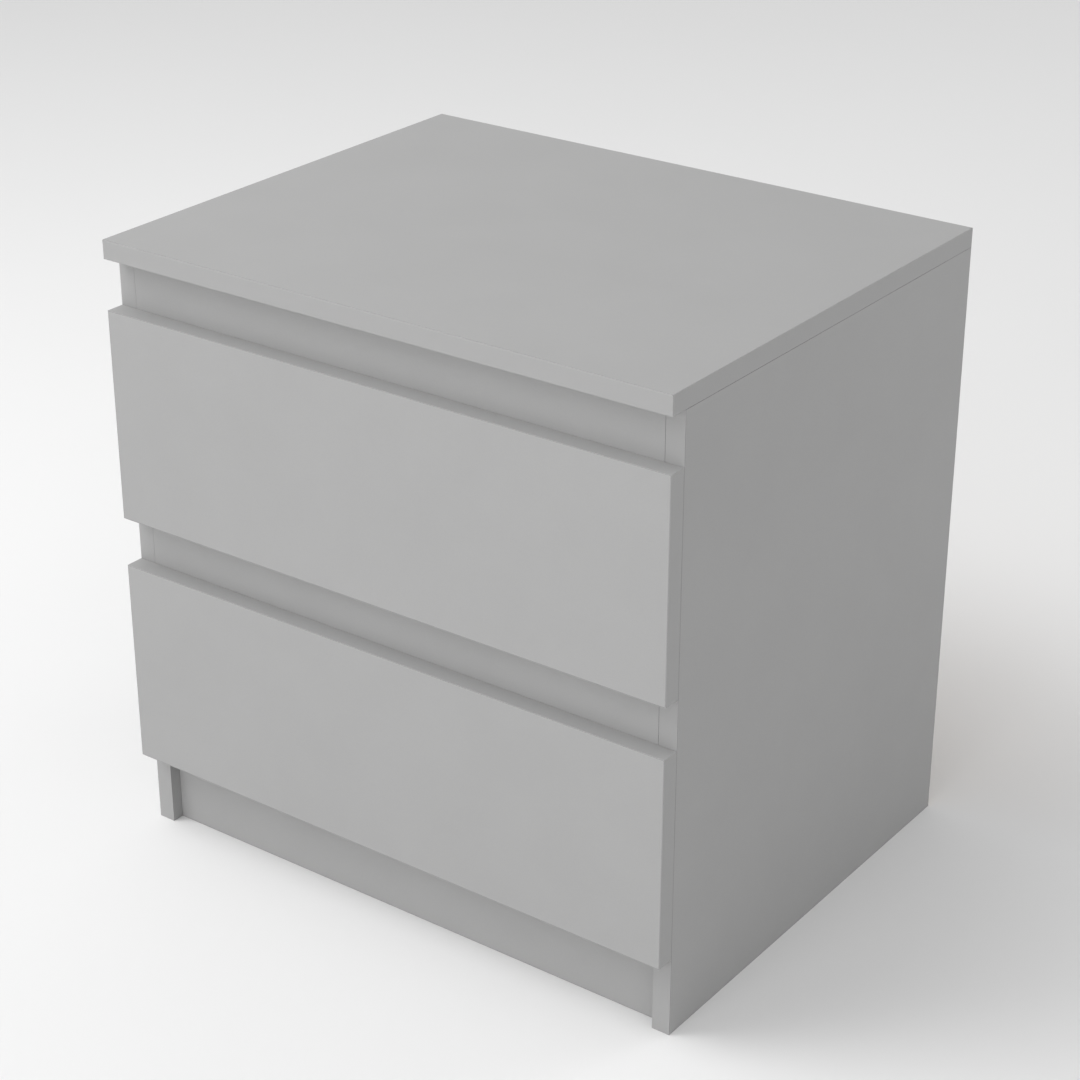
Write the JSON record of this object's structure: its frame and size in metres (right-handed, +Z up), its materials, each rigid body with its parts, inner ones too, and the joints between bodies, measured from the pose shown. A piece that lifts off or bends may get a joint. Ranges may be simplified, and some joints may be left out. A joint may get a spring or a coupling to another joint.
{
  "type": "nightstand with drawers",
  "caption": "Plain box-shaped nightstand with two full-width handleless drawers on ball-bearing slides, finger gaps above the fronts and a recessed plinth.",
  "frame": {"origin": "centre of the footprint at floor level", "axes": "+X to the right as seen from the front, +Y to the rear, +Z up; the drawers open along -Y"},
  "size_m": [0.5, 0.4, 0.5],
  "materials": {
    "melamine": "matt light-grey melamine on particle board",
    "drawer_melamine": "matt light-grey melamine on particle board",
    "hardboard": "lacquered hardboard",
    "zinc_steel": "zinc-plated",
    "cage_steel": "plain pressed sheet",
    "ball_steel": "polished",
    "cam_alloy": "bare die-cast alloy",
    "beech": "bare beech",
    "black_plastic": "moulded, matt"
  },
  "bodies": {
    "carcass": {"top_panel": "melamine", "left_side_panel": "melamine", "right_side_panel": "melamine", "bottom_panel": "melamine", "upper_front_rail": "melamine", "middle_front_rail": "melamine", "plinth_board": "melamine", "back_panel": "hardboard", "carcass_cam_locks": "cam_alloy", "carcass_cam_bolts": "zinc_steel", "carcass_dowels": "beech", "cabinet_slide_screws": "zinc_steel", "lower_left_cabinet_member": "zinc_steel", "lower_right_cabinet_member": "zinc_steel", "upper_left_cabinet_member": "zinc_steel", "upper_right_cabinet_member": "zinc_steel"},
    "lower_drawer": {"lower_drawer_front": "melamine", "lower_drawer_left_side": "drawer_melamine", "lower_drawer_right_side": "drawer_melamine", "lower_drawer_back": "drawer_melamine", "lower_drawer_bottom": "hardboard", "lower_drawer_cam_locks": "cam_alloy", "lower_drawer_cam_bolts": "zinc_steel", "lower_drawer_dowels": "beech", "lower_drawer_back_screws": "zinc_steel", "lower_drawer_slide_screws": "zinc_steel", "lower_left_drawer_member": "zinc_steel", "lower_right_drawer_member": "zinc_steel"},
    "lower_middle_members": {"lower_left_middle_member": "zinc_steel", "lower_right_middle_member": "zinc_steel"},
    "lower_outer_cages": {"lower_left_outer_ball_cage": "cage_steel", "lower_right_outer_ball_cage": "cage_steel", "lower_outer_balls": "ball_steel"},
    "lower_inner_cages": {"lower_left_inner_ball_cage": "cage_steel", "lower_right_inner_ball_cage": "cage_steel", "lower_inner_balls": "ball_steel"},
    "lower_left_lever": {"lower_left_release_lever": "black_plastic"},
    "lower_right_lever": {"lower_right_release_lever": "black_plastic"},
    "upper_drawer": {"upper_drawer_front": "melamine", "upper_drawer_left_side": "drawer_melamine", "upper_drawer_right_side": "drawer_melamine", "upper_drawer_back": "drawer_melamine", "upper_drawer_bottom": "hardboard", "upper_drawer_cam_locks": "cam_alloy", "upper_drawer_cam_bolts": "zinc_steel", "upper_drawer_dowels": "beech", "upper_drawer_back_screws": "zinc_steel", "upper_drawer_slide_screws": "zinc_steel", "upper_left_drawer_member": "zinc_steel", "upper_right_drawer_member": "zinc_steel"},
    "upper_middle_members": {"upper_left_middle_member": "zinc_steel", "upper_right_middle_member": "zinc_steel"},
    "upper_outer_cages": {"upper_left_outer_ball_cage": "cage_steel", "upper_right_outer_ball_cage": "cage_steel", "upper_outer_balls": "ball_steel"},
    "upper_inner_cages": {"upper_left_inner_ball_cage": "cage_steel", "upper_right_inner_ball_cage": "cage_steel", "upper_inner_balls": "ball_steel"},
    "upper_left_lever": {"upper_left_release_lever": "black_plastic"},
    "upper_right_lever": {"upper_right_release_lever": "black_plastic"}
  },
  "joints": [
    {"name": "lower_drawer_slide", "type": "slide", "parent": "carcass", "child": "lower_drawer", "axis": [0, -1, 0], "range_m": [0, 0.35]},
    {"name": "lower_middle_members_slide", "type": "slide", "parent": "carcass", "child": "lower_middle_members", "axis": [0, -1, 0], "range_m": [0, 0.175]},
    {"name": "lower_outer_cages_slide", "type": "slide", "parent": "carcass", "child": "lower_outer_cages", "axis": [0, -1, 0], "range_m": [0, 0.0875]},
    {"name": "lower_inner_cages_slide", "type": "slide", "parent": "carcass", "child": "lower_inner_cages", "axis": [0, -1, 0], "range_m": [0, 0.2625]},
    {"name": "lower_left_lever_pivot", "type": "hinge", "parent": "lower_drawer", "child": "lower_left_lever", "pos_m": [-0.2249, 0.0081, 0.138], "axis": [1, 0, 0], "range_deg": [0, 6], "stiffness_Nm_per_rad": 0.1, "springref_deg": -5.73},
    {"name": "lower_right_lever_pivot", "type": "hinge", "parent": "lower_drawer", "child": "lower_right_lever", "pos_m": [0.2249, 0.0081, 0.138], "axis": [-1, 0, 0], "range_deg": [0, 6], "stiffness_Nm_per_rad": 0.1, "springref_deg": -5.73},
    {"name": "upper_drawer_slide", "type": "slide", "parent": "carcass", "child": "upper_drawer", "axis": [0, -1, 0], "range_m": [0, 0.35]},
    {"name": "upper_middle_members_slide", "type": "slide", "parent": "carcass", "child": "upper_middle_members", "axis": [0, -1, 0], "range_m": [0, 0.175]},
    {"name": "upper_outer_cages_slide", "type": "slide", "parent": "carcass", "child": "upper_outer_cages", "axis": [0, -1, 0], "range_m": [0, 0.0875]},
    {"name": "upper_inner_cages_slide", "type": "slide", "parent": "carcass", "child": "upper_inner_cages", "axis": [0, -1, 0], "range_m": [0, 0.2625]},
    {"name": "upper_left_lever_pivot", "type": "hinge", "parent": "upper_drawer", "child": "upper_left_lever", "pos_m": [-0.2249, 0.0081, 0.348], "axis": [1, 0, 0], "range_deg": [0, 6], "stiffness_Nm_per_rad": 0.1, "springref_deg": -5.73},
    {"name": "upper_right_lever_pivot", "type": "hinge", "parent": "upper_drawer", "child": "upper_right_lever", "pos_m": [0.2249, 0.0081, 0.348], "axis": [-1, 0, 0], "range_deg": [0, 6], "stiffness_Nm_per_rad": 0.1, "springref_deg": -5.73}
  ],
  "couplings": [
    {"joint": "lower_middle_members_slide", "follows": "lower_drawer_slide", "ratio": 0.5},
    {"joint": "lower_outer_cages_slide", "follows": "lower_drawer_slide", "ratio": 0.25},
    {"joint": "lower_inner_cages_slide", "follows": "lower_drawer_slide", "ratio": 0.75},
    {"joint": "upper_middle_members_slide", "follows": "upper_drawer_slide", "ratio": 0.5},
    {"joint": "upper_outer_cages_slide", "follows": "upper_drawer_slide", "ratio": 0.25},
    {"joint": "upper_inner_cages_slide", "follows": "upper_drawer_slide", "ratio": 0.75}
  ]
}
